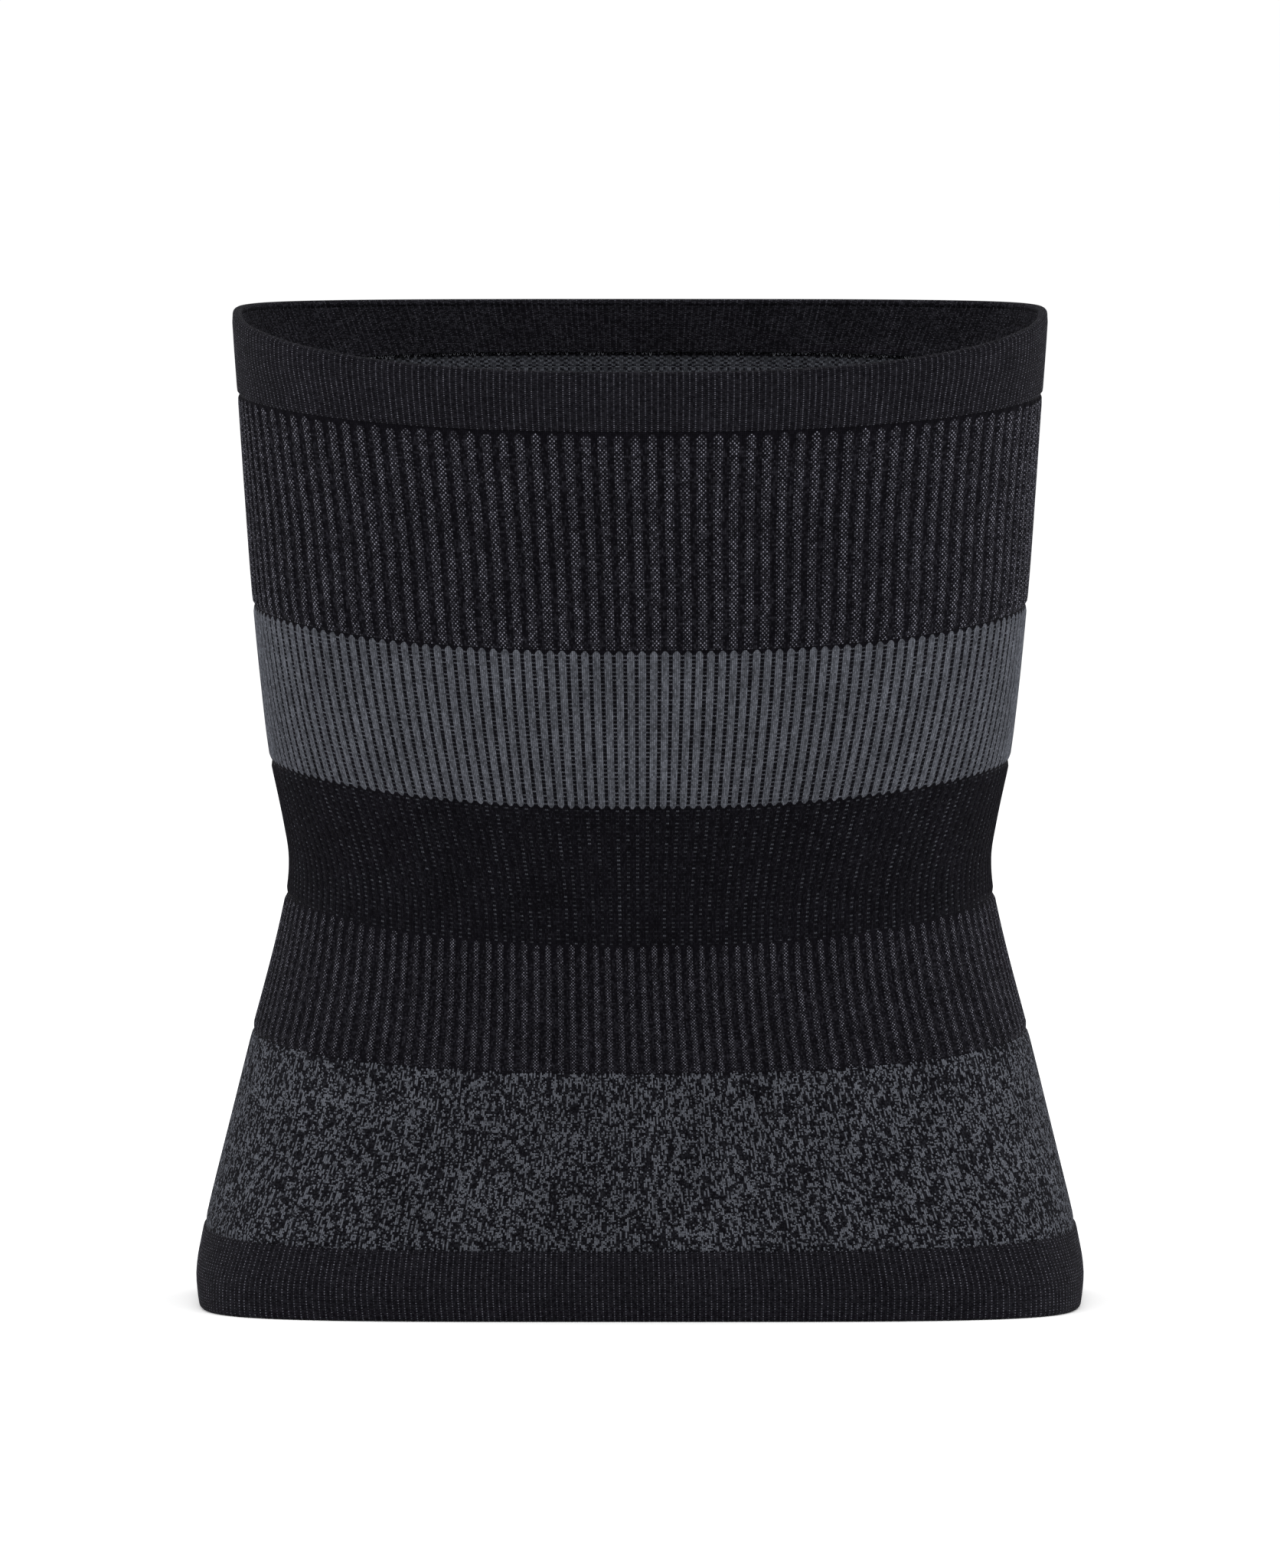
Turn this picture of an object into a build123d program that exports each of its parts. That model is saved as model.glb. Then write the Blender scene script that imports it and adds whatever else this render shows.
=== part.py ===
from build123d import *
import math
import os

# A seamless, circular-knit waist warmer, standing on its lower hem as it sits on a torso.
# X runs from side to side, -Y is the wearer's front and +Z is up. Millimetres.

# The outer face, as level sections: height, half width, half depth, squareness.
# A squareness of 2 is an ellipse, and a larger one is flatter in front and rounder at the sides.
SECTIONS = (
    (0.0, 146.9, 92.6, 4.4),
    (5.5, 148.9, 94.2, 4.1),
    (24.5, 146.2, 93.6, 3.3),
    (52.0, 139.7, 91.4, 2.8),
    (88.5, 130.7, 87.2, 2.6),
    (116.0, 123.4, 82.8, 2.45),
    (134.0, 119.3, 80.4, 2.35),
    (147.0, 117.5, 79.4, 2.3),
    (165.0, 120.2, 78.8, 2.35),
    (184.0, 124.2, 78.6, 2.45),
    (237.0, 129.8, 79.8, 2.55),
    (305.0, 134.6, 83.6, 2.5),
    (320.0, 135.7, 84.8, 2.85),
    (336.0, 136.7, 86.0, 3.1),
)
ROW_POINTS = 24

# Thickness of the knit, and the room for the elastic yarns between a hem's two plies.
PLY = 1.1
HEM_GAP = 0.6
CLEARANCE = 0.15
FOLD = 2.2
FOLD_CHAMFER = 0.6
HEM_TOTAL = 2 * PLY + HEM_GAP

# Courses, the horizontal rows of the knit: height at the sides, and how far the same row
# lies lower at the front and at the back. A negative drop is a rise.
TOP_RIM = (333.0, 16.0, 1.5)
TOP_INNER_EDGE = (309.0, 8.5, -4.5)
TOP_HEM_LINE = (305.0, 8.2, -4.0)
GREY_TOP = (234.4, 12.2, 2.8)
GREY_BOTTOM = (182.2, 13.9, 3.0)
WAIST_BOTTOM = (137.5, 13.2, 2.2)
MELANGE_TOP = (91.7, 8.0, 1.2)
BOTTOM_HEM_LINE = (26.3, 2.2, 0.0)
BOTTOM_INNER_EDGE = (23.3, 2.2, 0.0)
BOTTOM_RIM = (0.0, 0.0, 0.0)
DROP_DEPTH = 85.0

# The skins are lofted through rows at most this far apart.
ROW_SPACING = 5.0

# The linking loops hang just past the edge of each inner ply.
LOOP_HEIGHT = 1.2

# The bare elastic yarns laid round inside each hem.
YARN_COUNT = 4
YARN_HEIGHT = 0.6
YARN_PITCH = 3.5
FIRST_YARN = 5.0


def outline(height):
    """Half width, half depth and squareness of the outer face at one height."""
    last = len(SECTIONS) - 1
    i = max(k for k in range(last) if SECTIONS[k][0] <= height or k == 0)
    low, high = SECTIONS[i], SECTIONS[i + 1]
    before = SECTIONS[max(i - 1, 0)]
    after = SECTIONS[min(i + 2, last)]
    step = high[0] - low[0]
    t = (height - low[0]) / step
    values = []
    for k in (1, 2, 3):
        low_slope = (high[k] - before[k]) / (high[0] - before[0]) * step
        high_slope = (after[k] - low[k]) / (after[0] - low[0]) * step
        cubic = (2 * t**3 - 3 * t**2 + 1) * low[k]
        cubic += (t**3 - 2 * t**2 + t) * low_slope
        cubic += (3 * t**2 - 2 * t**3) * high[k]
        cubic += (t**3 - t**2) * high_slope
        values.append(cubic)
    return values


def course_height(course, y):
    """The height of a course where the tube's wall is at y: an arc falls away from the sides."""
    height, front_drop, back_drop = course
    drop = front_drop if y < 0 else back_drop
    if drop == 0:
        return height
    radius = (DROP_DEPTH**2 + drop**2) / (2 * drop)
    return height - radius + math.copysign(math.sqrt(radius**2 - y**2), radius)


def row(course, inset):
    """A closed line round the tube along a course, inset from the outer face."""
    points = []
    for i in range(ROW_POINTS):
        turn = 2 * math.pi * i / ROW_POINTS
        y = 0.0
        for _ in range(4):
            z = course_height(course, y)
            half_width, half_depth, squareness = outline(z)
            across = abs(math.cos(turn)) ** squareness
            along = abs(math.sin(turn)) ** squareness
            reach = (across + along) ** (-1 / squareness)
            y = (half_depth - inset) * reach * math.sin(turn)
        x = (half_width - inset) * reach * math.cos(turn)
        points.append((x, y, z))
    return Wire([Spline(*points, periodic=True)])


def between(start, end, share):
    """A corner of a ring's section, part of the way from one corner to another."""
    course = tuple(a + (b - a) * share for a, b in zip(start[0], end[0]))
    return (course, start[1] + (end[1] - start[1]) * share)


def ring(corners):
    """A closed ring of cloth whose section has these corners, each a course and an inset.

    The land that the garment stands on is the one flat face."""
    faces = []
    for start, end in zip(corners, corners[1:] + corners[:1]):
        if start[0] == end[0] == BOTTOM_RIM:
            outer, inner = sorted((start, end), key=lambda corner: corner[1])
            faces.append(Face(row(*outer), [row(*inner)]))
            continue
        spans = max(1, math.ceil(abs(end[0][0] - start[0][0]) / ROW_SPACING))
        rows = [row(*between(start, end, k / spans)) for k in range(spans + 1)]
        faces += Shell.make_loft(rows, ruled=spans == 1).faces()
    solid = Solid(Shell(faces))
    if solid.volume < 0:
        raise ValueError("a ring came out inside out")
    return solid


def shifted(course, rise):
    """The same course, moved up or down the tube."""
    return (course[0] + rise,) + course[1:]


def panel(lower, upper):
    """One ply of cloth between two courses."""
    return ring([(lower, 0.0), (upper, 0.0), (upper, PLY), (lower, PLY)])


def save(name, solids):
    """Writes one piece, made of one or more separate solids."""
    piece = Compound(children=solids) if len(solids) > 1 else solids[0]
    piece.label = name
    export_step(piece, f"parts/{name}.step")


def hem(name, rim, hem_line, inner_edge, inward):
    """A turned hem: outer ply with its fold, inner ply, elastic yarns and linking loops.

    inward is +1 where the tube lies above the rim, and -1 where it lies below."""
    inner_face = PLY + HEM_GAP
    fold_start = shifted(rim, inward * FOLD_CHAMFER)
    fold_end = shifted(rim, inward * FOLD)
    loops_end = shifted(inner_edge, inward * LOOP_HEIGHT)
    outer_ply = ring(
        [
            (fold_start, 0.0),
            (hem_line, 0.0),
            (hem_line, PLY),
            (fold_end, PLY),
            (fold_end, inner_face),
            (fold_end, HEM_TOTAL),
            (fold_start, HEM_TOTAL),
            (rim, HEM_TOTAL - FOLD_CHAMFER),
            (rim, FOLD_CHAMFER),
        ]
    )
    inner_ply = ring(
        [
            (fold_end, inner_face),
            (inner_edge, inner_face),
            (inner_edge, HEM_TOTAL),
            (fold_end, HEM_TOTAL),
        ]
    )
    loops = ring(
        [
            (inner_edge, inner_face),
            (loops_end, PLY + CLEARANCE),
            (loops_end, HEM_TOTAL),
            (inner_edge, HEM_TOTAL),
        ]
    )
    yarns = []
    for i in range(YARN_COUNT):
        start = shifted(rim, inward * (FIRST_YARN + i * YARN_PITCH))
        end = shifted(start, inward * YARN_HEIGHT)
        outside, inside = PLY + CLEARANCE, inner_face - CLEARANCE
        yarns.append(ring([(start, outside), (end, outside), (end, inside), (start, inside)]))
    save(f"{name}_outer_ply", [outer_ply])
    save(f"{name}_inner_ply", [inner_ply])
    save(f"{name}_closing_loops", [loops])
    save(f"{name}_elastic", yarns)


def main():
    os.makedirs("parts", exist_ok=True)
    hem("top_hem", TOP_RIM, TOP_HEM_LINE, TOP_INNER_EDGE, -1)
    hem("bottom_hem", BOTTOM_RIM, BOTTOM_HEM_LINE, BOTTOM_INNER_EDGE, 1)
    save("upper_rib_panel", [panel(GREY_TOP, TOP_HEM_LINE)])
    save("grey_rib_panel", [panel(GREY_BOTTOM, GREY_TOP)])
    save("waist_panel", [panel(WAIST_BOTTOM, GREY_BOTTOM)])
    save("lower_rib_panel", [panel(MELANGE_TOP, WAIST_BOTTOM)])
    save("melange_panel", [panel(BOTTOM_HEM_LINE, MELANGE_TOP)])


main()
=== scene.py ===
import math

import bpy
import numpy as np
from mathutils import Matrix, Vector
from mathutils.bvhtree import BVHTree


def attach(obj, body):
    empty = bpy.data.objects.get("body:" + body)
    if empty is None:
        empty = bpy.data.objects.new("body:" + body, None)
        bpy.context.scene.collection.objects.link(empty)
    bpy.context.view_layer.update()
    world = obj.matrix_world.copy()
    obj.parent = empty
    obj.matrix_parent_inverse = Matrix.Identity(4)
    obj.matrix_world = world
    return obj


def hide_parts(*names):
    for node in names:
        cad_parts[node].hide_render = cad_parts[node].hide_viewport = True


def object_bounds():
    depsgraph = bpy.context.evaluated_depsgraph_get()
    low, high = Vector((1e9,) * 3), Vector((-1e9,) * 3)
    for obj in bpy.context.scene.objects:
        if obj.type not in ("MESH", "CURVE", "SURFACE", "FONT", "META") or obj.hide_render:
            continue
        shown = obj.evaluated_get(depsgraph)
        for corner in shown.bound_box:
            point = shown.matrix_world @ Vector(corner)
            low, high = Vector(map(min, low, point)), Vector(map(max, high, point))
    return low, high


# A knitted waist warmer. Metres. Wales are the knit's vertical lines of stitches, counted
# round the tube from the middle of the back, and courses are its horizontal rows.

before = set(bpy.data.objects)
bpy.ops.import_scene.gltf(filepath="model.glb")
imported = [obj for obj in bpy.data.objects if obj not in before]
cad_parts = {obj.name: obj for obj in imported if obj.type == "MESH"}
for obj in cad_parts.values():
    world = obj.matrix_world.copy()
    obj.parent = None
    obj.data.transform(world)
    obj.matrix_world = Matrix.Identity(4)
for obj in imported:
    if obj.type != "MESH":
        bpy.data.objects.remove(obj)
cad_low, cad_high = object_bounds()
HEIGHT = cad_high.z
BODY = "root"

# The knit.
WALES = 1056
COURSE = 0.00051
COLUMNS_PER_WALE = 2
COLUMNS = WALES * COLUMNS_PER_WALE
ALL_WALES = np.arange(COLUMNS) / COLUMNS_PER_WALE
HEM_REPEAT = 3
RELAXED = 0.85
BROAD_REPEAT = 8
NARROW_REPEAT = 6

# The height of a stitch in each zone, in courses of the hems.
UPPER_STITCH = 1.36
GREY_STITCH = 1.3
WAIST_STITCH = 1.35
LOWER_STITCH = 1.1

# How far the wales stray from even lines, in wales.
WANDER_WALES = 0.45

# Relief of the knit: how deep the seams at a panel's ends lie, and how far they reach.
SEAM_DEPTH = 0.00042
SEAM_REACH = 0.0019

# How deep the grooves show on the inside of a panel, and how much of its relief does.
INNER_GROOVE = 0.00015
INNER_RELIEF = 0.8
PANEL_ROWS = 18

# The hems: how far the face stands proud, the fold, and the room for yarns between the plies.
HEM_SWELL = 0.0003
HEM_SWELL_REACH = 0.0014
FOLD_END = 0.0024
FOLD_BULGE = 0.0002
YARN_ROOM = 0.0006

# Yarns: the linking loops, one for so many wales, and the turns of elastic.
LOOP_WALES = 2
LOOP_RADIUS = 0.00013
LOOP_POINTS = 7
ELASTIC_TURNS = 4
ELASTIC_RADIUS = 0.00014
ELASTIC_FIRST = 0.0053
ELASTIC_PITCH = 0.0035
TUBE_SIDES = 6

# Yarn colours, as sRGB shades.
BLACK_YARN = (12, 11, 15)
CHARCOAL_YARN = (104, 104, 113)
GREY_YARN = (74, 76, 82)
LOOP_YARN = (128, 130, 137)

# How much closer the wales lie in front than on the average, by share of the height.
CROWDING = (
    (0.00, 0.225),
    (0.07, 0.203),
    (0.26, 0.245),
    (0.33, 0.237),
    (0.40, 0.212),
    (0.55, 0.104),
    (0.62, 0.058),
    (0.71, 0.025),
    (0.80, 0.012),
    (0.89, -0.012),
    (0.91, -0.016),
    (1.01, 0.018),
)

# How many wales the knit has spiralled round at each share of the height, as jersey does.
SPIRAL = (
    (0.00, -11.3),
    (0.07, -10.4),
    (0.26, -7.4),
    (0.40, -3.9),
    (0.55, -3.5),
    (0.71, -3.1),
    (0.91, -0.2),
    (1.01, 0.0),
)

# The camera stands far off and a little above, in front of the garment.
CAMERA_DISTANCE = 18.0
CAMERA_ELEVATION = math.radians(4.0)
CAMERA_TARGET = 0.5213 * HEIGHT
FRAME_TALL = 1.579 * HEIGHT
SENSOR = 36.0

random = np.random.default_rng(7)


# ---- the shape, measured from the frame ------------------------------------------------


def surface_tree():
    """A tree of all the CAD faces, for casting rays at them."""
    points = []
    triangles = []
    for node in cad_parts.values():
        start = len(points)
        points += [v.co.copy() for v in node.data.vertices]
        node.data.calc_loop_triangles()
        triangles += [[start + i for i in t.vertices] for t in node.data.loop_triangles]
    return BVHTree.FromPolygons(points, triangles)


def smooth_table(heights, values, fine):
    """Values at the fine heights, on a smooth curve through those at the given heights."""
    slopes = np.gradient(values, heights)
    i = np.clip(np.searchsorted(heights, fine) - 1, 0, len(heights) - 2)
    step = heights[i + 1] - heights[i]
    t = (fine - heights[i]) / step
    low = (2 * t**3 - 3 * t**2 + 1) * values[i] + (t**3 - 2 * t**2 + t) * slopes[i] * step
    high = (3 * t**2 - 2 * t**3) * values[i + 1] + (t**3 - t**2) * slopes[i + 1] * step
    return low + high


class Outline:
    """Half width, half depth and squareness of the outer face, at any height."""

    PROBES = 34
    ABOVE_LOWER_FOLD = 0.0012
    BELOW_UPPER_FOLD = 0.0035

    def __init__(self, tree):
        low = self.ABOVE_LOWER_FOLD
        high = HEIGHT - self.BELOW_UPPER_FOLD
        heights = np.linspace(low, high, self.PROBES)
        found = np.array([self.probe(tree, z) for z in heights])
        self.fine = np.linspace(low, high, 700)
        self.tables = [smooth_table(heights, column, self.fine) for column in found.T]

    @staticmethod
    def probe(tree, z):
        """Rays from outside, at the side, the back and half way between."""
        far = 1.0
        side = tree.ray_cast(Vector((far, 0.0004, z)), Vector((-1, 0, 0)))[0].x
        back = tree.ray_cast(Vector((0.0004, far, z)), Vector((0, -1, 0)))[0].y
        aim = Vector((side, back, 0))
        corner = tree.ray_cast(Vector((0, 0, z)) + aim * 3, -aim.normalized())[0]
        reach = corner.x / side
        squareness = math.log(2) / math.log(1 / reach)
        return side, back, squareness

    def at(self, z):
        return [np.interp(z, self.fine, table) for table in self.tables]


def edge_heights(node, upper):
    """Heights and depths of a node's upper or lower edge at the side, the front and the back."""
    band = 0.010
    co = np.array([v.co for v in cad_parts[node].data.vertices])
    pick = np.argmax if upper else np.argmin
    found = []
    for near in (
        (np.abs(co[:, 1]) < band),
        (np.abs(co[:, 0]) < band) & (co[:, 1] < 0),
        (np.abs(co[:, 0]) < band) & (co[:, 1] > 0),
    ):
        group = co[near]
        at = group[pick(group[:, 2])]
        found.append((float(at[2]), abs(float(at[1]))))
    return found


class Course:
    """One row of the knit round the tube: its height at the sides, and its arcs to front and back."""

    def __init__(self, side, bend_front, bend_back):
        self.side = side
        self.bend_front = bend_front
        self.bend_back = bend_back

    @classmethod
    def edge(cls, node, upper):
        (side, _), (front, front_y), (back, back_y) = edge_heights(node, upper)
        bends = []
        for height, depth in ((front, front_y), (back, back_y)):
            drop = side - height
            bends.append(2 * drop / (depth**2 + drop**2))
        return cls(side, *bends)

    def height(self, y):
        """An arc of curvature bend, level at the sides of the tube."""
        bend = np.where(y < 0, self.bend_front, self.bend_back)
        return self.side - bend * y**2 / (1 + np.sqrt(np.maximum(1 - (bend * y) ** 2, 0)))

    def towards(self, other, share):
        return Course(
            self.side + (other.side - self.side) * share,
            self.bend_front + (other.bend_front - self.bend_front) * share,
            self.bend_back + (other.bend_back - self.bend_back) * share,
        )

    def raised(self, rise):
        return Course(self.side + rise, self.bend_front, self.bend_back)


TREE = surface_tree()
OUTLINE = Outline(TREE)


def wall_thickness(z):
    """The cloth's whole thickness at the side, at one height."""
    outside = TREE.ray_cast(Vector((1.0, 0.0004, z)), Vector((-1, 0, 0)))[0].x
    inside = TREE.ray_cast(Vector((0, 0.0004, z)), Vector((1, 0, 0)))[0].x
    return outside - inside


# One ply is measured in the grey zone, and a whole hem near the upper rim.
PLY = wall_thickness(0.62 * HEIGHT)
PANEL_THICKNESS = PLY * 0.85
HEM_TOTAL = wall_thickness(0.96 * HEIGHT)
FOLD_RADIUS = HEM_TOTAL / 2
BACK_DEPTH = OUTLINE.at(0.92 * HEIGHT)[1]

TOP_RIM = Course.edge("top_hem_outer_ply", True)
TOP_INNER_EDGE = Course.edge("top_hem_inner_ply", False)
TOP_HEM_LINE = Course.edge("upper_rib_panel", True)
GREY_TOP = Course.edge("grey_rib_panel", True)
GREY_BOTTOM = Course.edge("grey_rib_panel", False)
WAIST_BOTTOM = Course.edge("waist_panel", False)
MELANGE_TOP = Course.edge("melange_panel", True)
BOTTOM_HEM_LINE = Course.edge("bottom_hem_outer_ply", True)
BOTTOM_INNER_EDGE = Course.edge("bottom_hem_inner_ply", True)
BOTTOM_RIM = Course.edge("bottom_hem_outer_ply", False)


def by_height(table, side_height):
    """A value from one of the tables above."""
    shares_up, amounts = np.array(table).T
    share = np.clip(side_height / HEIGHT, 0, shares_up[-1])
    return float(smooth_table(shares_up, amounts, np.array([share]))[0])


def make_waves(count, shortest, longest):
    """Whole numbers of waves round the tube and up it, with amounts that add up to about 1."""
    return [
        (
            random.integers(shortest, longest),
            random.uniform(-30, 30),
            random.uniform(0, 2 * math.pi),
            random.uniform(0.5, 1.0) / count,
        )
        for _ in range(count)
    ]


WANDER = make_waves(7, 6, 60)


def waver(waves, wales, side_height):
    """A smooth uneven surface over the tube, from about -1 to 1."""
    turn = 2 * math.pi * np.asarray(wales) / WALES
    return sum(
        amount * np.sin(around * turn + up * side_height / HEIGHT + phase)
        for around, up, phase, amount in waves
    )


def positions(turn, course):
    """Points of the outer face along a course, at these angles."""
    y = np.zeros_like(turn)
    for _ in range(6):
        z = course.height(y)
        half_width, half_depth, squareness = OUTLINE.at(z)
        across = np.abs(np.sin(turn)) ** squareness
        along = np.abs(np.cos(turn)) ** squareness
        reach = (across + along) ** (-1 / squareness)
        y = half_depth * reach * np.cos(turn)
    return np.stack([half_width * reach * np.sin(turn), y, z], axis=-1)


def course_points(course, wales):
    """Points of the outer face along a course, at these wales, counted from the middle of the back."""
    turn = np.linspace(0, 2 * math.pi, 1441)
    line = positions(turn, course)
    length = np.concatenate([[0], np.cumsum(np.linalg.norm(np.diff(line, axis=0), axis=1))])
    moved = by_height(SPIRAL, course.side) + WANDER_WALES * waver(WANDER, wales, course.side)
    t = np.mod(wales + moved, WALES) / WALES
    crowding = by_height(CROWDING, course.side)
    share = t + crowding / (2 * math.pi) * np.sin(2 * math.pi * t)
    return positions(np.interp(share * length[-1], length, turn), course)


def face_grid(courses, wales):
    """Points and outward normals of the outer face, one row for each course."""
    lift = 0.0008
    grid = np.stack([course_points(c, wales) for c in courses])
    above = np.stack([course_points(c.raised(lift), wales) for c in courses])
    along = np.roll(grid, -1, axis=1) - np.roll(grid, 1, axis=1)
    normal = np.cross(along, above - grid)
    normal /= np.linalg.norm(normal, axis=2, keepdims=True)
    outward = np.sum(normal[:, :, :2] * grid[:, :, :2], axis=2, keepdims=True)
    return grid, np.where(outward < 0, -normal, normal)


# ---- relief of the knit ----------------------------------------------------------------


def smoothstep(x):
    x = np.clip(x, 0, 1)
    return x * x * (3 - 2 * x)


def repeat_noise(count, low, high):
    """One random number for each repeat round the tube."""
    return random.uniform(low, high, count)


def rib_relief(wales, repeat, raised, depth, crown):
    """Cords of `raised` wales between grooves, in metres above the outer face."""
    place = np.mod(wales, repeat)
    from_middle = np.abs(place - raised / 2)
    from_middle = np.minimum(from_middle, repeat - from_middle)
    edge = smoothstep((raised / 2 + 0.55 - from_middle) / 1.3)
    round_off = crown * np.minimum(from_middle / (raised / 2), 1) ** 2
    number = np.floor(wales / repeat).astype(int) % (WALES // repeat)
    strength = repeat_noise(WALES // repeat, 0.82, 1.15)[number]
    return depth * strength * (edge - 0.6) - round_off * edge


def wale_relief(wales, depth):
    """The rounded column of stitches that each wale is."""
    return depth * (0.5 - np.abs(np.mod(wales, 1) - 0.5) * 2)


def hem_relief(wales, depth):
    """Wale columns, with every third one prouder than the others."""
    from_column = np.abs(np.mod(wales + HEM_REPEAT / 2 - 0.5, HEM_REPEAT) - HEM_REPEAT / 2)
    return wale_relief(wales, depth) + depth * smoothstep(1 - from_column)


# ---- meshes ----------------------------------------------------------------------------


def make_object(name, points, faces, uvs=None, slots=None, materials=()):
    """A smooth-shaded mesh object. uvs holds the wale and course of each face corner."""
    mesh = bpy.data.meshes.new(name)
    faces = np.asarray(faces, np.int32)
    sides = faces.shape[1]
    mesh.vertices.add(len(points))
    mesh.vertices.foreach_set("co", np.asarray(points, np.float32).ravel())
    mesh.loops.add(faces.size)
    mesh.loops.foreach_set("vertex_index", faces.ravel())
    mesh.polygons.add(len(faces))
    mesh.polygons.foreach_set("loop_start", np.arange(0, faces.size, sides, dtype=np.int32))
    mesh.polygons.foreach_set("use_smooth", np.ones(len(faces), bool))
    if uvs is not None:
        layer = mesh.uv_layers.new(name="knit")
        layer.data.foreach_set("uv", np.asarray(uvs, np.float32).ravel())
    for material in materials:
        mesh.materials.append(material)
    if slots is not None:
        mesh.polygons.foreach_set("material_index", np.asarray(slots, np.int32))
    mesh.update(calc_edges=True)
    mesh.validate()
    obj = bpy.data.objects.new(name, mesh)
    bpy.context.scene.collection.objects.link(obj)
    return obj


class Row:
    """One row of a ring's section: its course, its depth below the face at each column, and the
    course number that the pattern has there."""

    def __init__(self, course, depth, number, slot=0):
        self.course = course
        self.depth = depth
        self.number = number
        self.slot = slot


def ring_mesh(name, rows, materials):
    """A closed ring of cloth from the rows of its section, in order round the section."""
    columns = np.arange(COLUMNS)
    wales = ALL_WALES
    grid, normal = face_grid([row.course for row in rows], wales)
    depth = np.stack([np.broadcast_to(row.depth, wales.shape) for row in rows])
    points = grid - normal * depth[:, :, None]
    count = len(rows)
    i = np.arange(count)[:, None]
    j = np.broadcast_to(columns[None, :], (count, COLUMNS))
    i_next = (i + 1) % count
    j_next = (j + 1) % COLUMNS
    faces = np.stack(
        [i * COLUMNS + j, i * COLUMNS + j_next, i_next * COLUMNS + j_next, i_next * COLUMNS + j],
        axis=-1,
    ).reshape(-1, 4)
    number = np.array([row.number for row in rows], float)
    after = np.roll(number, -1)
    after[-1] = number[-1]
    u = np.broadcast_to(wales[None, :], (count, COLUMNS))
    step = 1 / COLUMNS_PER_WALE
    low = np.broadcast_to(number[:, None], u.shape)
    high = np.broadcast_to(after[:, None], u.shape)
    uvs = np.stack([u, low, u + step, low, u + step, high, u, high], axis=-1).reshape(-1, 2)
    slots = np.repeat([row.slot for row in rows], COLUMNS)
    flat = points.reshape(-1, 3)
    obj = make_object(name, flat, faces, uvs, slots, materials)
    if signed_volume(flat, faces) < 0:
        obj.data.flip_normals()
    return obj


def signed_volume(points, quads):
    """A number with the sign of the mesh's volume: below 0 if its faces point inwards."""
    a, b, c, d = (points[quads[:, k]] for k in range(4))
    return float(np.sum(a * np.cross(b, c)) + np.sum(a * np.cross(c, d)))


def shares(count, end_rows=(0.0, 0.006, 0.02, 0.045)):
    """Row places from 0 to 1, closer together near both ends."""
    middle = np.linspace(end_rows[-1], 1 - end_rows[-1], count)
    return np.concatenate([end_rows[:-1], middle, 1 - np.array(end_rows[-2::-1])])


# ---- materials -------------------------------------------------------------------------


def linear(shade):
    """An sRGB shade as the linear colour that Blender works in."""
    values = [s / 255 for s in shade]
    return tuple(v / 12.92 if v <= 0.04045 else ((v + 0.055) / 1.055) ** 2.4 for v in values)


class Graph:
    """A material's node tree, with short ways to add sums to it."""

    def __init__(self, name):
        self.material = bpy.data.materials.new(name)
        self.material.use_nodes = True
        self.tree = self.material.node_tree
        self.shader = self.tree.nodes["Principled BSDF"]

    def node(self, kind, **settings):
        made = self.tree.nodes.new(kind)
        for key, value in settings.items():
            setattr(made, key, value)
        return made

    def connect(self, socket, value):
        if isinstance(value, bpy.types.NodeSocket):
            self.tree.links.new(value, socket)
        else:
            socket.default_value = value

    def sum(self, operation, a, b=0.0, c=0.0):
        made = self.node("ShaderNodeMath", operation=operation)
        for socket, value in zip(made.inputs, (a, b, c)):
            self.connect(socket, value)
        return made.outputs[0]

    def add(self, a, b):
        return self.sum("ADD", a, b)

    def times(self, a, b):
        return self.sum("MULTIPLY", a, b)

    def floor(self, a):
        return self.sum("FLOOR", a)

    def part(self, a):
        return self.sum("FRACT", a)

    def modulo(self, a, b):
        return self.sum("FLOORED_MODULO", a, b)

    def below(self, a, b):
        return self.sum("LESS_THAN", a, b)

    def above(self, a, b):
        return self.sum("GREATER_THAN", a, b)

    def remap(self, value, low, high, to_low=0.0, to_high=1.0):
        made = self.node("ShaderNodeMapRange", clamp=True)
        for socket, v in zip(made.inputs, (value, low, high, to_low, to_high)):
            self.connect(socket, v)
        return made.outputs[0]

    def mix(self, factor, a, b):
        """A mix of two colours."""
        made = self.node("ShaderNodeMix", data_type="RGBA")
        self.connect(made.inputs[0], factor)
        for socket, value in ((made.inputs[6], a), (made.inputs[7], b)):
            self.connect(socket, value if isinstance(value, bpy.types.NodeSocket) else (*value, 1))
        return made.outputs[2]

    def scale_colour(self, colour, amount):
        made = self.node("ShaderNodeVectorMath", operation="SCALE")
        self.connect(made.inputs[0], colour)
        self.connect(made.inputs[3], amount)
        return made.outputs[0]

    def pair(self, a, b, c=0.0):
        made = self.node("ShaderNodeCombineXYZ")
        for socket, value in zip(made.inputs, (a, b, c)):
            self.connect(socket, value)
        return made.outputs[0]

    def random(self, a, b, c=0.0):
        """A random number from 0 to 1 for each pair of whole numbers."""
        made = self.node("ShaderNodeTexWhiteNoise", noise_dimensions="3D")
        self.connect(made.inputs["Vector"], self.pair(a, b, c))
        return made.outputs["Value"]

    def cloud(self, vector, scale, detail=2.0):
        made = self.node("ShaderNodeTexNoise")
        self.connect(made.inputs["Vector"], vector)
        made.inputs["Scale"].default_value = scale
        made.inputs["Detail"].default_value = detail
        return made.outputs["Fac"]


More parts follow.
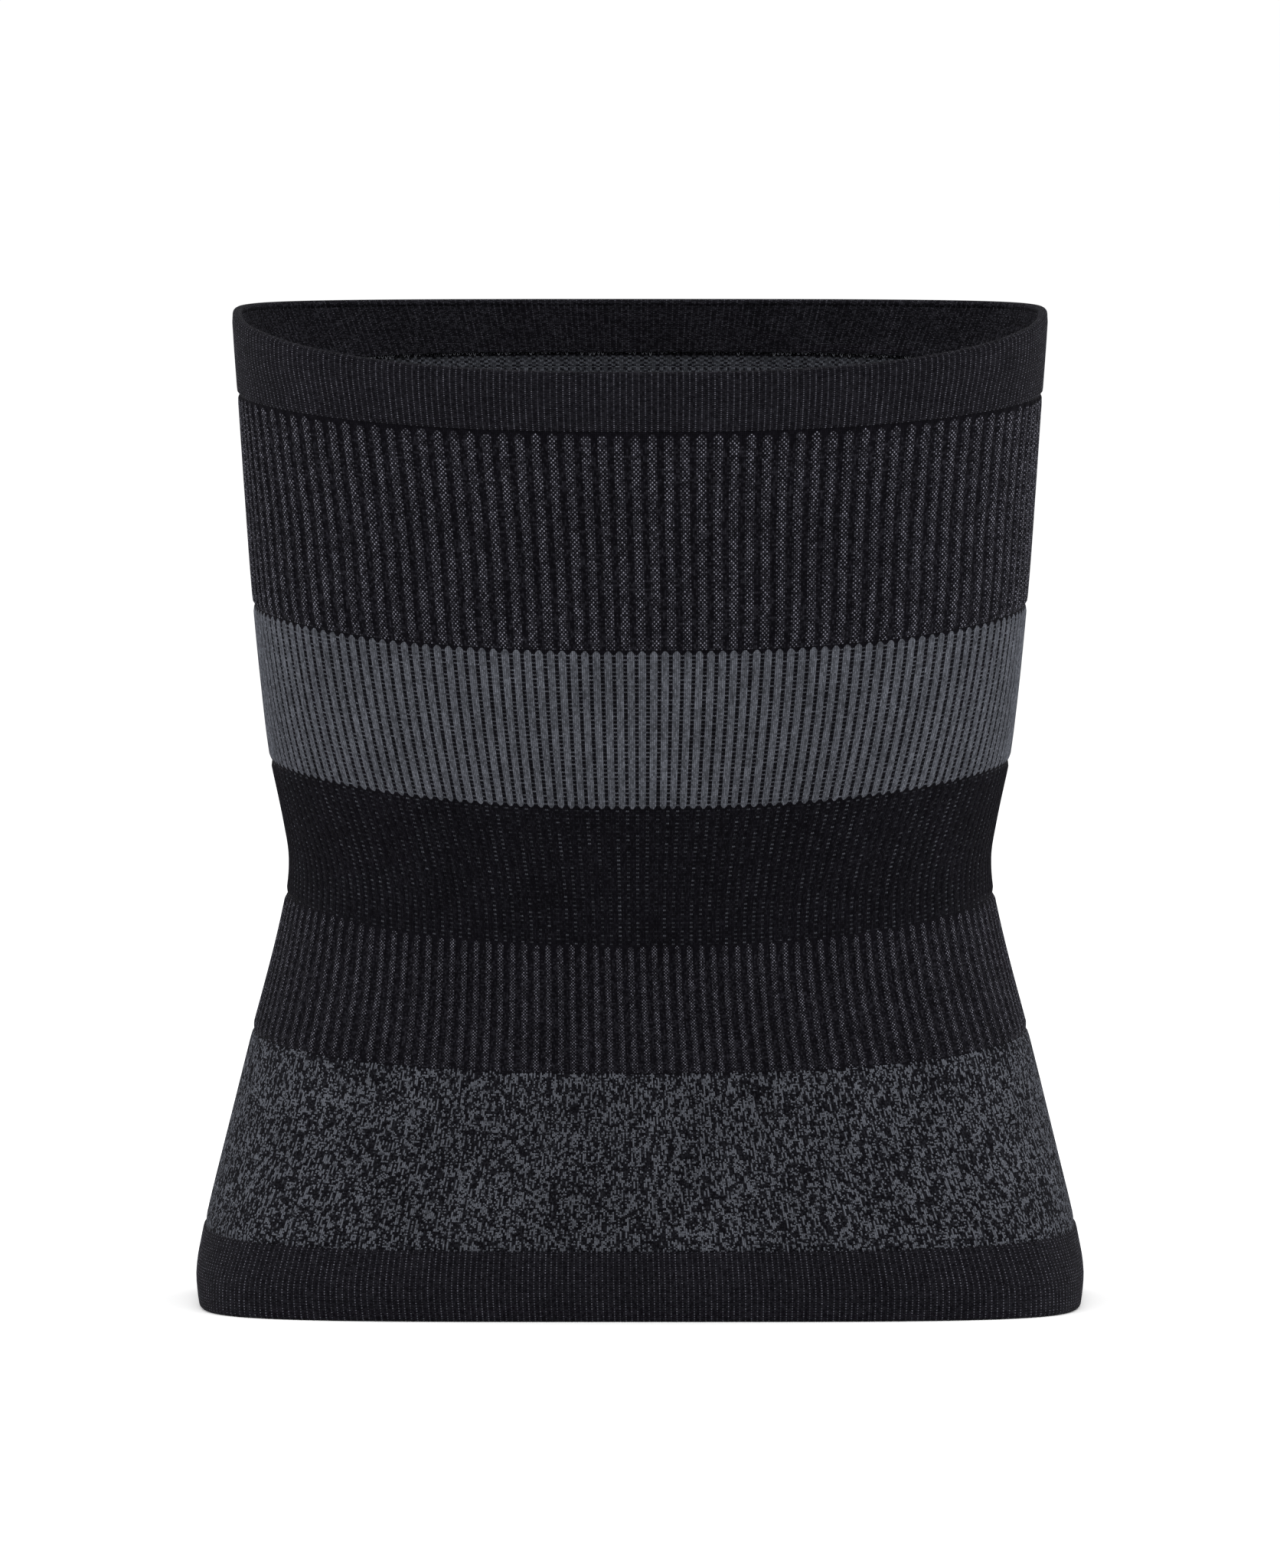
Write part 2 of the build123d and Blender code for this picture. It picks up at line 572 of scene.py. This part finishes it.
class Knit(Graph):
    """A knit's stitches: which stitch a point is in, and where in it."""

    def __init__(self, name, tall=1.0):
        """tall is the height of this knit's stitches, in courses."""
        super().__init__(name)
        coordinates = self.node("ShaderNodeUVMap", uv_map="knit")
        apart = self.node("ShaderNodeSeparateXYZ")
        self.tree.links.new(coordinates.outputs[0], apart.inputs[0])
        self.u = apart.outputs[0]
        self.v = self.times(apart.outputs[1], 1 / tall)
        self.place = self.node("ShaderNodeTexCoord").outputs["Object"]
        self.wale = self.floor(self.u)
        across = self.part(self.u)
        self.off_middle = self.sum("ABSOLUTE", self.sum("SUBTRACT", self.times(across, 2.0), 1.0))
        leaning = self.add(self.v, self.times(self.off_middle, 0.45))
        self.course = self.floor(leaning)
        self.up = self.part(leaning)
        self.chance = self.random(self.wale, self.course)
        self.off_centre = self.sum("ABSOLUTE", self.sum("SUBTRACT", self.times(self.up, 2.0), 1.0))

    def dot(self, size, softness=0.35):
        """A round dot in the middle of each stitch."""
        squares = self.add(
            self.times(self.off_middle, self.off_middle), self.times(self.off_centre, self.off_centre)
        )
        distance = self.sum("SQRT", squares)
        return self.remap(distance, size + softness, size - softness)

    def stitch_height(self):
        """Two rounded legs, which lean together to a V in each stitch."""
        leg = self.part(self.times(self.u, 2.0))
        from_leg = self.sum("ABSOLUTE", self.sum("SUBTRACT", self.times(leg, 2.0), 1.0))
        roundness = self.sum("SUBTRACT", 1.0, self.times(from_leg, from_leg))
        column = self.sum("SUBTRACT", 1.0, self.times(self.off_middle, self.off_middle))
        loop = self.sum("SUBTRACT", 1.0, self.times(self.off_centre, self.off_centre))
        return self.add(
            self.times(column, 0.45), self.add(self.times(roundness, 0.2), self.times(loop, 0.35))
        )

    def columns(self, *numbers, repeat):
        """1 on the given wales of each repeat, 0 on the others."""
        place = self.modulo(self.wale, float(repeat))
        found = 0.0
        for number in numbers:
            here = self.sum("COMPARE", place, float(number), 0.25)
            found = here if found == 0.0 else self.add(found, here)
        return found

    def every_other_course(self):
        return self.below(self.modulo(self.course, 2.0), 0.5)

    def checker(self):
        return self.below(self.modulo(self.add(self.wale, self.course), 2.0), 0.5)

    def specks(self, amount, share=0.5):
        """Faint stitches here and there."""
        return self.times(self.remap(self.chance, 1 - share, 1.0), amount)

    def patchy(self, across, up, low, high, sharp=0.15):
        """A slow change over the cloth, between low and high."""
        place = self.pair(self.times(self.wale, across), self.times(self.v, up))
        return self.remap(self.cloud(place, 1.0), 0.5 - sharp, 0.5 + sharp, low, high)

    def finish(self, mask, light=CHARCOAL_YARN, bump=0.6, lint=0.3, painted_hollow_shade=0.45, line=1.0):
        """Colours the stitches by the mask, paints shade into their hollows and a highlight onto their
        tops, and adds fuzz.

        line is the painted shade of the hollow between two wales."""
        height = self.stitch_height()
        fuzz = self.cloud(self.place, 3800.0, 3.0)
        patches = self.cloud(self.place, 60.0, 3.0)
        colour = self.mix(mask, linear(BLACK_YARN), linear(light))
        # Brightness: random tone from stitch to stitch, times painted shade in each stitch's hollow
        # and a painted highlight on its top.
        shade = self.times(
            self.remap(self.chance, 0.0, 1.0, 1 - lint, 1 + lint),
            self.remap(height, 0.1, 0.9, painted_hollow_shade, 1.15),
        )
        # Painted shade in the hollow between two wales.
        shade = self.times(shade, self.remap(self.off_middle, 0.55, 0.95, 1.0, line))
        shade = self.times(shade, self.remap(fuzz, 0.3, 0.7, 0.78, 1.22))
        shade = self.times(shade, self.remap(patches, 0.3, 0.7, 0.88, 1.12))
        self.tree.links.new(self.scale_colour(colour, shade), self.shader.inputs["Base Color"])
        rise = self.add(height, self.times(fuzz, 0.35))
        bumps = self.node("ShaderNodeBump")
        bumps.inputs["Strength"].default_value = bump
        bumps.inputs["Distance"].default_value = 0.00025
        self.tree.links.new(rise, bumps.inputs["Height"])
        self.tree.links.new(bumps.outputs[0], self.shader.inputs["Normal"])
        roughness = self.remap(fuzz, 0.2, 0.8, 0.82, 1.0)
        self.tree.links.new(roughness, self.shader.inputs["Roughness"])
        self.shader.inputs["Specular IOR Level"].default_value = 0.02
        self.shader.inputs["Sheen Weight"].default_value = 0.008
        self.shader.inputs["Sheen Roughness"].default_value = 0.45
        return self.material


def hem_material():
    """Charcoal-dotted columns, one wale in three, on black."""
    knit = Knit("hem_charcoal")
    column = knit.columns(0, repeat=HEM_REPEAT)
    dots = knit.times(knit.times(column, knit.every_other_course()), knit.dot(0.66, 0.28))
    dots = knit.times(dots, knit.patchy(0.35, 0.02, 0.36, 0.66))
    dots = knit.times(dots, knit.remap(knit.chance, 0.0, 1.0, 0.35, 1.3))
    ground = knit.add(knit.specks(0.04, 0.9), knit.times(column, 0.01))
    return knit.finish(knit.sum("MAXIMUM", dots, ground), lint=0.15)


def inner_ply_material():
    """Black with a faint dot at every third wale."""
    knit = Knit("hem_black")
    column = knit.columns(0, repeat=HEM_REPEAT)
    dots = knit.times(knit.times(column, knit.every_other_course()), knit.dot(0.7))
    dots = knit.times(dots, knit.patchy(0.1, 0.05, 0.08, 0.28))
    return knit.finish(knit.add(knit.add(dots, knit.specks(0.08)), 0.015))


def textured_rib_material(name, raised, courses, tall, shadow_courses, strength):
    """Birdseye of black and charcoal on the raised wales, plain black in the grooves.

    The birdseye begins in rounded tips below the upper edge; the black courses above the tips are a
    painted shadow line along the seam there."""
    knit = Knit(name, tall)
    courses = courses / tall
    place = knit.modulo(knit.u, float(BROAD_REPEAT))
    off = knit.times(knit.sum("SUBTRACT", place, raised / 2), 2 / raised)
    off_squared = knit.times(off, off)
    from_top = knit.sum("SUBTRACT", courses, knit.v)
    repeat = knit.floor(knit.times(knit.u, 1 / BROAD_REPEAT))
    # Black courses at the upper edge, ragged from rib to rib: a painted shadow line along the seam.
    begins = knit.add(shadow_courses, knit.times(knit.random(repeat, 7.0, 1.0), 1.4))
    shown = knit.above(from_top, knit.add(begins, knit.times(off_squared, 1.6)))
    on_rib = knit.columns(*range(raised), repeat=BROAD_REPEAT)
    dots = knit.times(knit.times(on_rib, knit.checker()), knit.dot(0.62, 0.22))
    bright = knit.remap(knit.chance, 0.0, 1.0, 0.25 * strength, 1.3 * strength)
    bright = knit.times(bright, knit.patchy(0.25, 0.012, 0.75, 1.15))
    # Dots dim towards both sides of each rib: painted shade on the cord's flanks and a painted
    # highlight on its crown.
    bright = knit.times(bright, knit.sum("SUBTRACT", 1.25, knit.times(off_squared, 1.0)))
    ground = knit.add(knit.times(on_rib, 0.005), knit.specks(0.055))
    mask = knit.add(knit.times(dots, bright), ground)
    return knit.finish(knit.times(mask, shown))


def rungs(knit, dim, bright):
    """Short bars across the grooves, one in every two courses."""
    in_groove = knit.columns(4, 5, repeat=NARROW_REPEAT)
    bar = knit.remap(knit.off_centre, 0.85, 0.35)
    repeat = knit.floor(knit.times(knit.u, 1 / NARROW_REPEAT))
    shade = knit.remap(knit.random(repeat, knit.course, 2.0), 0.0, 1.0, dim, bright)
    return knit.times(knit.times(in_groove, knit.every_other_course()), knit.times(bar, shade))


def grey_rib_material(courses):
    """Grey wales with a ladder of small grey bars in the black grooves, and rounded ends."""
    knit = Knit("rib_grey", GREY_STITCH)
    courses = courses / GREY_STITCH
    place = knit.modulo(knit.u, float(NARROW_REPEAT))
    from_middle = knit.times(knit.sum("SUBTRACT", place, 2.0), 0.5)
    tip = knit.add(0.4, knit.times(knit.times(from_middle, from_middle), 1.8))
    from_end = knit.sum("MINIMUM", knit.v, knit.sum("SUBTRACT", courses, knit.v))
    on_rib = knit.times(knit.columns(0, 1, 2, 3, repeat=NARROW_REPEAT), knit.above(from_end, tip))
    stretch = knit.floor(knit.times(knit.course, 0.2))
    streaks = knit.remap(knit.random(knit.wale, stretch), 0, 1, 0.7, 1.05)
    ladder = knit.times(rungs(knit, 0.15, 0.95), knit.above(from_end, 1.5))
    mask = knit.sum("MAXIMUM", knit.times(on_rib, streaks), ladder)
    return knit.finish(mask, light=GREY_YARN, lint=0.42, painted_hollow_shade=0.5, line=0.5)


def waist_material():
    """Black, with broken ladders of faint bars in line with the grooves above."""
    knit = Knit("rib_black", WAIST_STITCH)
    ladder = knit.times(rungs(knit, 0.0, 0.8), knit.patchy(0.17, 0.012, 0.3, 1.0))
    return knit.finish(knit.add(ladder, knit.specks(0.035)), line=0.5, light=GREY_YARN)


def melange_material(courses):
    """Black and grey stitches at random, many of them in short upright runs."""
    knit = Knit("melange")
    start = knit.times(knit.random(knit.wale, 3.0, 5.0), 4.0)
    run = knit.random(knit.wale, knit.floor(knit.times(knit.add(knit.course, start), 0.29)), 11.0)
    level = knit.add(knit.times(run, 0.56), knit.times(knit.chance, 0.4))
    level = knit.add(level, knit.patchy(0.36, 0.16, -0.08, 0.12))
    lit = knit.times(knit.remap(level, 0.54, 0.62), knit.remap(knit.chance, 0.0, 1.0, 0.45, 1.25))
    mask = knit.add(lit, knit.specks(0.11, 0.9))
    ragged = knit.add(courses - 2.4, knit.times(run, 2.4))
    mask = knit.times(mask, knit.below(knit.v, ragged))
    return knit.finish(mask, light=GREY_YARN, lint=0.2, painted_hollow_shade=0.4, line=0.65)


def back_material(name, repeat, raised):
    """The inside of the knit: grey floats crossed by short black dashes behind the raised wales."""
    knit = Knit(name)
    behind_rib = knit.columns(*range(raised), repeat=repeat)
    pairs = knit.add(knit.floor(knit.times(knit.wale, 0.5)), knit.floor(knit.times(knit.course, 0.5)))
    pattern = knit.below(knit.modulo(pairs, 2.0), 0.5)
    dashes = knit.times(pattern, knit.remap(behind_rib, 0.0, 1.0, 0.7, 1.0))
    dashes = knit.times(dashes, knit.remap(knit.chance, 0.1, 0.5, 0.3, 1.0))
    grey = knit.sum("SUBTRACT", 0.98, knit.times(dashes, 0.95))
    return knit.finish(grey, light=GREY_YARN, lint=0.5)


def loop_material():
    """Linking loops, some grey and some black."""
    knit = Knit("loop_yarn")
    pale = knit.remap(knit.random(knit.wale, 1.0, 2.0), 0.35, 0.5, 0.15, 1.8)
    return knit.finish(pale, light=LOOP_YARN, bump=0.2, painted_hollow_shade=0.7)


def elastic_material():
    """Bare elastane: dark, a little glossy, with fine lengthwise lines."""
    graph = Graph("elastic")
    place = graph.node("ShaderNodeTexCoord").outputs["Object"]
    streaks = graph.cloud(place, 900.0, 3.0)
    colour = graph.mix(streaks, (0.02, 0.02, 0.02), (0.07, 0.07, 0.068))
    graph.tree.links.new(colour, graph.shader.inputs["Base Color"])
    graph.tree.links.new(graph.remap(streaks, 0.0, 1.0, 0.35, 0.6), graph.shader.inputs["Roughness"])
    return graph.material


# ---- the pieces ------------------------------------------------------------------------


def finish_piece(obj, node, flat=None):
    """Hides the CAD node that a piece replaces and attaches the piece to the body. flat, its flat size
    where it is a sheet of cloth, is not used.
    """
    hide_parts(node)
    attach(obj, BODY)


def girth(course):
    """Length round the tube along a course."""
    line = positions(np.linspace(0, 2 * math.pi, 721), course)
    return float(np.linalg.norm(np.diff(line, axis=0), axis=1).sum())


def panel(name, lower, upper, outer_relief, material, back):
    """A single ply between two courses. outer_relief gives the height of the face above the
    frame's own at each wale, from the share of the way up and the panel's height."""
    tall = upper.side - lower.side
    courses = tall / COURSE
    rows = []
    for share in shares(PANEL_ROWS):
        relief = outer_relief(share, tall)
        rows.append(Row(lower.towards(upper, share), -relief, share * courses))
    for share in shares(6, (0.0, 0.006, 0.04))[::-1]:
        relief = np.maximum(outer_relief(share, tall), -INNER_GROOVE)
        depth = PANEL_THICKNESS - relief * INNER_RELIEF
        rows.append(Row(lower.towards(upper, share), depth, share * courses, 1))
    obj = ring_mesh(f"{name}_knit", rows, (material, back))
    width = (girth(lower) + girth(upper)) / 2
    finish_piece(obj, name, flat=(width * RELAXED, tall))


def ends(share, tall):
    """0 at both ends of a panel, and 1 beyond the reach of their seams."""
    from_end = min(share, 1 - share) * tall
    return smoothstep(from_end / SEAM_REACH)


def ribbed(repeat, raised, depth, crown):
    """The relief of a ribbed panel, which flattens to a shallow seam at both ends."""
    ribs = rib_relief(ALL_WALES, repeat, raised, depth, crown) + wale_relief(ALL_WALES, 0.00007)

    def relief(share, tall):
        inside = ends(share, tall)
        return ribs * inside - SEAM_DEPTH * (1 - inside)

    return relief


def plain(depth):
    """The relief of a plain panel: wale columns, and a slight uneven surface."""
    phase = random.uniform(0, 2 * math.pi, 6)

    def relief(share, tall):
        inside = ends(share, tall)
        wander = sum(
            np.sin(2 * math.pi * (k + 5) * ALL_WALES / WALES + phase[k] + share * (2 + k))
            for k in range(6)
        )
        face = wale_relief(ALL_WALES, depth) + wander * 0.00003
        return face * inside - SEAM_DEPTH * (1 - inside)

    return relief


def hem_rows(rim, hem_line, inner_edge, inward):
    """The section of a hem's outer ply: its face from the hem line to the rim, the fold, and
    its inner side back to the hem line."""
    rows = []
    tall = abs(rim.side - hem_line.side)
    courses = tall / COURSE
    columns = hem_relief(ALL_WALES, 0.00005)
    for share in shares(10, (0.0, 0.012, 0.04, 0.09))[:-3]:
        course = hem_line.towards(rim.raised(inward * FOLD_RADIUS), share)
        swell = smoothstep(share * tall / HEM_SWELL_REACH)
        relief = (columns + HEM_SWELL) * swell - HEM_SWELL * (1 - swell)
        rows.append(Row(course, -relief, share * courses))
    for turn in np.linspace(math.radians(10), math.radians(170), 9):
        course = rim.raised(inward * FOLD_RADIUS * (1 - math.sin(turn)))
        depth = FOLD_RADIUS * (1 - math.cos(turn)) - FOLD_BULGE * math.cos(turn)
        over = math.degrees(turn) > 50
        rows.append(Row(course, depth - columns * 0.7, courses + 4 * turn, 2 if over else 0))
    fold_end = rim.raised(inward * FOLD_END)
    rows.append(Row(fold_end, HEM_TOTAL, courses + 14, 2))
    top, edge, line = (c.height(BACK_DEPTH) for c in (fold_end, inner_edge, hem_line))
    # The inner side stays black where the inner ply hides it, and a little further past the inner
    # ply's edge as a painted shadow line under the linking loops.
    painted_shadow_end = float((top - edge) / (top - line)) + 0.05
    for share, slot in ((0.0, 2), (0.5, 2), (painted_shadow_end, 1), (0.98, 1), (1.0, 1)):
        rows.append(Row(fold_end.towards(hem_line, share), PLY, courses * (1 - share), slot))
    return rows


def hem(prefix, rim, hem_line, inner_edge, inward, materials):
    """A turned hem: outer ply with its fold, inner ply, linking loops and elastic yarn.

    inward is +1 where the tube lies above the rim, and -1 where it lies below."""
    outer, inner, back, loops, elastic = materials
    rows = hem_rows(rim, hem_line, inner_edge, inward)
    obj = ring_mesh(f"{prefix}_outer_ply_knit", rows, (outer, back, inner))
    tall = abs(rim.side - hem_line.side)
    finish_piece(obj, f"{prefix}_outer_ply", flat=(girth(rim) * RELAXED, tall * 1.1))

    start = rim.raised(inward * FOLD_END)
    inner_tall = abs(inner_edge.side - start.side)
    courses = inner_tall / COURSE
    columns = hem_relief(ALL_WALES, 0.00004)
    rows = []
    for share in shares(7, (0.0, 0.02, 0.08)):
        edge = smoothstep((share - 0.8) / 0.2)
        depth = HEM_TOTAL - 0.0001 * edge + columns
        rows.append(Row(start.towards(inner_edge, share), depth, share * courses))
    for share in (1.0, 0.7, 0.35, 0.0):
        rows.append(Row(start.towards(inner_edge, share), PLY + YARN_ROOM, share * courses))
    obj = ring_mesh(f"{prefix}_inner_ply_knit", rows, (inner,))
    flat = (girth(inner_edge) * RELAXED, inner_tall)
    finish_piece(obj, f"{prefix}_inner_ply", flat=flat)
    linking_loops(prefix, inner_edge, inward, loops)
    elastic_yarn(prefix, rim, inward, elastic)


def tube_mesh(lines, radius, numbers, closed=False):
    """Round tubes along several lines of points, all in one mesh."""
    sides = TUBE_SIDES
    points = []
    faces = []
    uvs = []
    for line, number in zip(lines, numbers):
        line = np.asarray(line)
        count = len(line)
        if closed:
            along = np.roll(line, -1, axis=0) - np.roll(line, 1, axis=0)
        else:
            along = np.gradient(line, axis=0)
        along /= np.linalg.norm(along, axis=1, keepdims=True)
        level = line * [1, 1, 0]
        out = level if closed else np.broadcast_to(level.mean(axis=0), line.shape)
        first = np.cross(along, out)
        first /= np.linalg.norm(first, axis=1, keepdims=True)
        second = np.cross(along, first)
        start = len(points)
        for k in range(count):
            for s in range(sides):
                turn = 2 * math.pi * s / sides
                away = math.cos(turn) * first[k] + math.sin(turn) * second[k]
                points.append(line[k] + radius * away)
        last = count if closed else count - 1
        for k in range(last):
            for s in range(sides):
                a = start + k * sides + s
                b = start + k * sides + (s + 1) % sides
                c = start + (k + 1) % count * sides + (s + 1) % sides
                d = start + (k + 1) % count * sides + s
                faces.append((a, b, c, d))
                uvs += [(number + 0.5, k)] * 4
        if not closed:
            for base in (start, start + (count - 1) * sides):
                for s in range(1, sides - 2, 2):
                    faces.append((base, base + s, base + s + 1, base + s + 2))
                    uvs += [(number + 0.5, 0)] * 4
    return points, faces, uvs


def linking_loops(prefix, inner_edge, inward, material):
    """A row of small loops past the inner ply's edge, one for each two wales, uneven as the
    ravelled yarn is."""
    count = WALES // LOOP_WALES
    wales = np.arange(count) * LOOP_WALES + 0.5
    lines = []
    lengths = random.uniform(0.0004, 0.0016, count)
    leans = random.normal(0, 0.5, count)
    shares_along = np.linspace(0, 1, LOOP_POINTS)
    left, left_normal = face_grid([inner_edge], wales)
    right, _ = face_grid([inner_edge], wales + 1.5)
    for k in range(count):
        a, b, normal = left[0, k], right[0, k], left_normal[0, k]
        line = []
        for t in shares_along:
            hang = math.sin(math.pi * t)
            point = a + (b - a) * (t + leans[k] * 0.3 * hang)
            depth = HEM_TOTAL - 0.0003 - 0.0006 * hang
            rise = inward * (lengths[k] * hang - 0.0004)
            line.append(point - normal * depth + np.array([0, 0, rise]))
        lines.append(line)
    points, faces, uvs = tube_mesh(lines, LOOP_RADIUS, np.arange(count))
    obj = make_object(f"{prefix}_closing_loops_yarn", points, faces, uvs, None, (material,))
    finish_piece(obj, f"{prefix}_closing_loops")


def elastic_yarn(prefix, rim, inward, material):
    """One bare elastic yarn wound round inside the hem, as separate turns."""
    wales = np.arange(0, WALES, 4.0)
    lines = []
    for k in range(ELASTIC_TURNS):
        course = rim.raised(inward * (ELASTIC_FIRST + ELASTIC_PITCH * k))
        grid, normal = face_grid([course], wales)
        lines.append(grid[0] - normal[0] * (PLY + 0.0003))
    points, faces, uvs = tube_mesh(lines, ELASTIC_RADIUS, range(ELASTIC_TURNS), closed=True)
    obj = make_object(f"{prefix}_elastic_yarn", points, faces, uvs, None, (material,))
    finish_piece(obj, f"{prefix}_elastic")


def courses_between(lower, upper):
    return (upper.side - lower.side) / COURSE


def build_garment():
    broad_back = back_material("back_broad", BROAD_REPEAT, 5)
    narrow_back = back_material("back_narrow", NARROW_REPEAT, 4)
    hem_set = (hem_material(), inner_ply_material(), broad_back, loop_material(), elastic_material())
    hem("top_hem", TOP_RIM, TOP_HEM_LINE, TOP_INNER_EDGE, -1, hem_set)
    hem("bottom_hem", BOTTOM_RIM, BOTTOM_HEM_LINE, BOTTOM_INNER_EDGE, 1, hem_set)
    courses = courses_between(GREY_TOP, TOP_HEM_LINE)
    panel(
        "upper_rib_panel",
        GREY_TOP,
        TOP_HEM_LINE,
        ribbed(BROAD_REPEAT, 4.5, 0.00060, 0.00012),
        textured_rib_material("rib_charcoal", 5, courses, UPPER_STITCH, 0.8, 0.78),
        broad_back,
    )
    panel(
        "grey_rib_panel",
        GREY_BOTTOM,
        GREY_TOP,
        ribbed(NARROW_REPEAT, 4, 0.00042, 0.00007),
        grey_rib_material(courses_between(GREY_BOTTOM, GREY_TOP)),
        narrow_back,
    )
    panel(
        "waist_panel",
        WAIST_BOTTOM,
        GREY_BOTTOM,
        ribbed(NARROW_REPEAT, 4, 0.00032, 0.00008),
        waist_material(),
        narrow_back,
    )
    courses = courses_between(MELANGE_TOP, WAIST_BOTTOM)
    panel(
        "lower_rib_panel",
        MELANGE_TOP,
        WAIST_BOTTOM,
        ribbed(BROAD_REPEAT, 4, 0.00045, 0.0001),
        textured_rib_material("rib_charcoal_lower", 4, courses, LOWER_STITCH, 0.2, 0.60),
        broad_back,
    )
    panel(
        "melange_panel",
        BOTTOM_HEM_LINE,
        MELANGE_TOP,
        plain(0.00009),
        melange_material(courses_between(BOTTOM_HEM_LINE, MELANGE_TOP)),
        narrow_back,
    )


# ---- floor, lights and camera ----------------------------------------------------------


def make_floor():
    size = 60.0
    points = [(-size, -size, 0), (size, -size, 0), (size, size, 0), (-size, size, 0)]
    graph = Graph("floor")
    place = graph.node("ShaderNodeTexCoord").outputs["Object"]
    tint = graph.cloud(place, 0.7, 2.0)
    colour = graph.mix(tint, (0.975, 0.975, 0.975), (0.985, 0.985, 0.985))
    graph.tree.links.new(colour, graph.shader.inputs["Base Color"])
    graph.shader.inputs["Roughness"].default_value = 1.0
    graph.shader.inputs["Specular IOR Level"].default_value = 0.0
    floor = make_object("floor", points, [(0, 1, 2, 3)], None, None, (graph.material,))


def area_light(name, place, aim, size, watts):
    light = bpy.data.lights.new(name, "AREA")
    light.shape = "RECTANGLE"
    light.size, light.size_y = size
    light.energy = watts
    obj = bpy.data.objects.new(name, light)
    obj.location = place
    direction = Vector(aim) - Vector(place)
    obj.rotation_euler = direction.to_track_quat("-Z", "Y").to_euler()
    bpy.context.scene.collection.objects.link(obj)


def make_lights():
    world = bpy.data.worlds.new("studio")
    world.use_nodes = True
    background = world.node_tree.nodes["Background"]
    background.inputs["Color"].default_value = (1, 1, 1, 1)
    background.inputs["Strength"].default_value = 1.03
    bpy.context.scene.world = world
    middle = (0, 0, HEIGHT / 2)
    area_light("left_soft_box", (-2.0, -0.45, 0.45), middle, (0.9, 1.3), 20)
    area_light("right_soft_box", (2.0, -0.45, 0.45), middle, (0.9, 1.3), 24)
    area_light("top_soft_box", (0, 0, 2.6), middle, (3.0, 3.0), 30)


def make_camera():
    camera = bpy.data.cameras.new("camera")
    camera.lens = SENSOR * CAMERA_DISTANCE / FRAME_TALL
    camera.sensor_width = SENSOR
    camera.clip_end = 300.0
    obj = bpy.data.objects.new("camera", camera)
    away = Vector((0, -math.cos(CAMERA_ELEVATION), math.sin(CAMERA_ELEVATION)))
    obj.location = Vector((0, 0, CAMERA_TARGET)) + away * CAMERA_DISTANCE
    obj.rotation_euler = (math.pi / 2 - CAMERA_ELEVATION, 0, 0)
    bpy.context.scene.collection.objects.link(obj)
    bpy.context.scene.camera = obj


make_camera()
make_floor()
make_lights()
build_garment()
bpy.context.scene.view_settings.view_transform = "Standard"
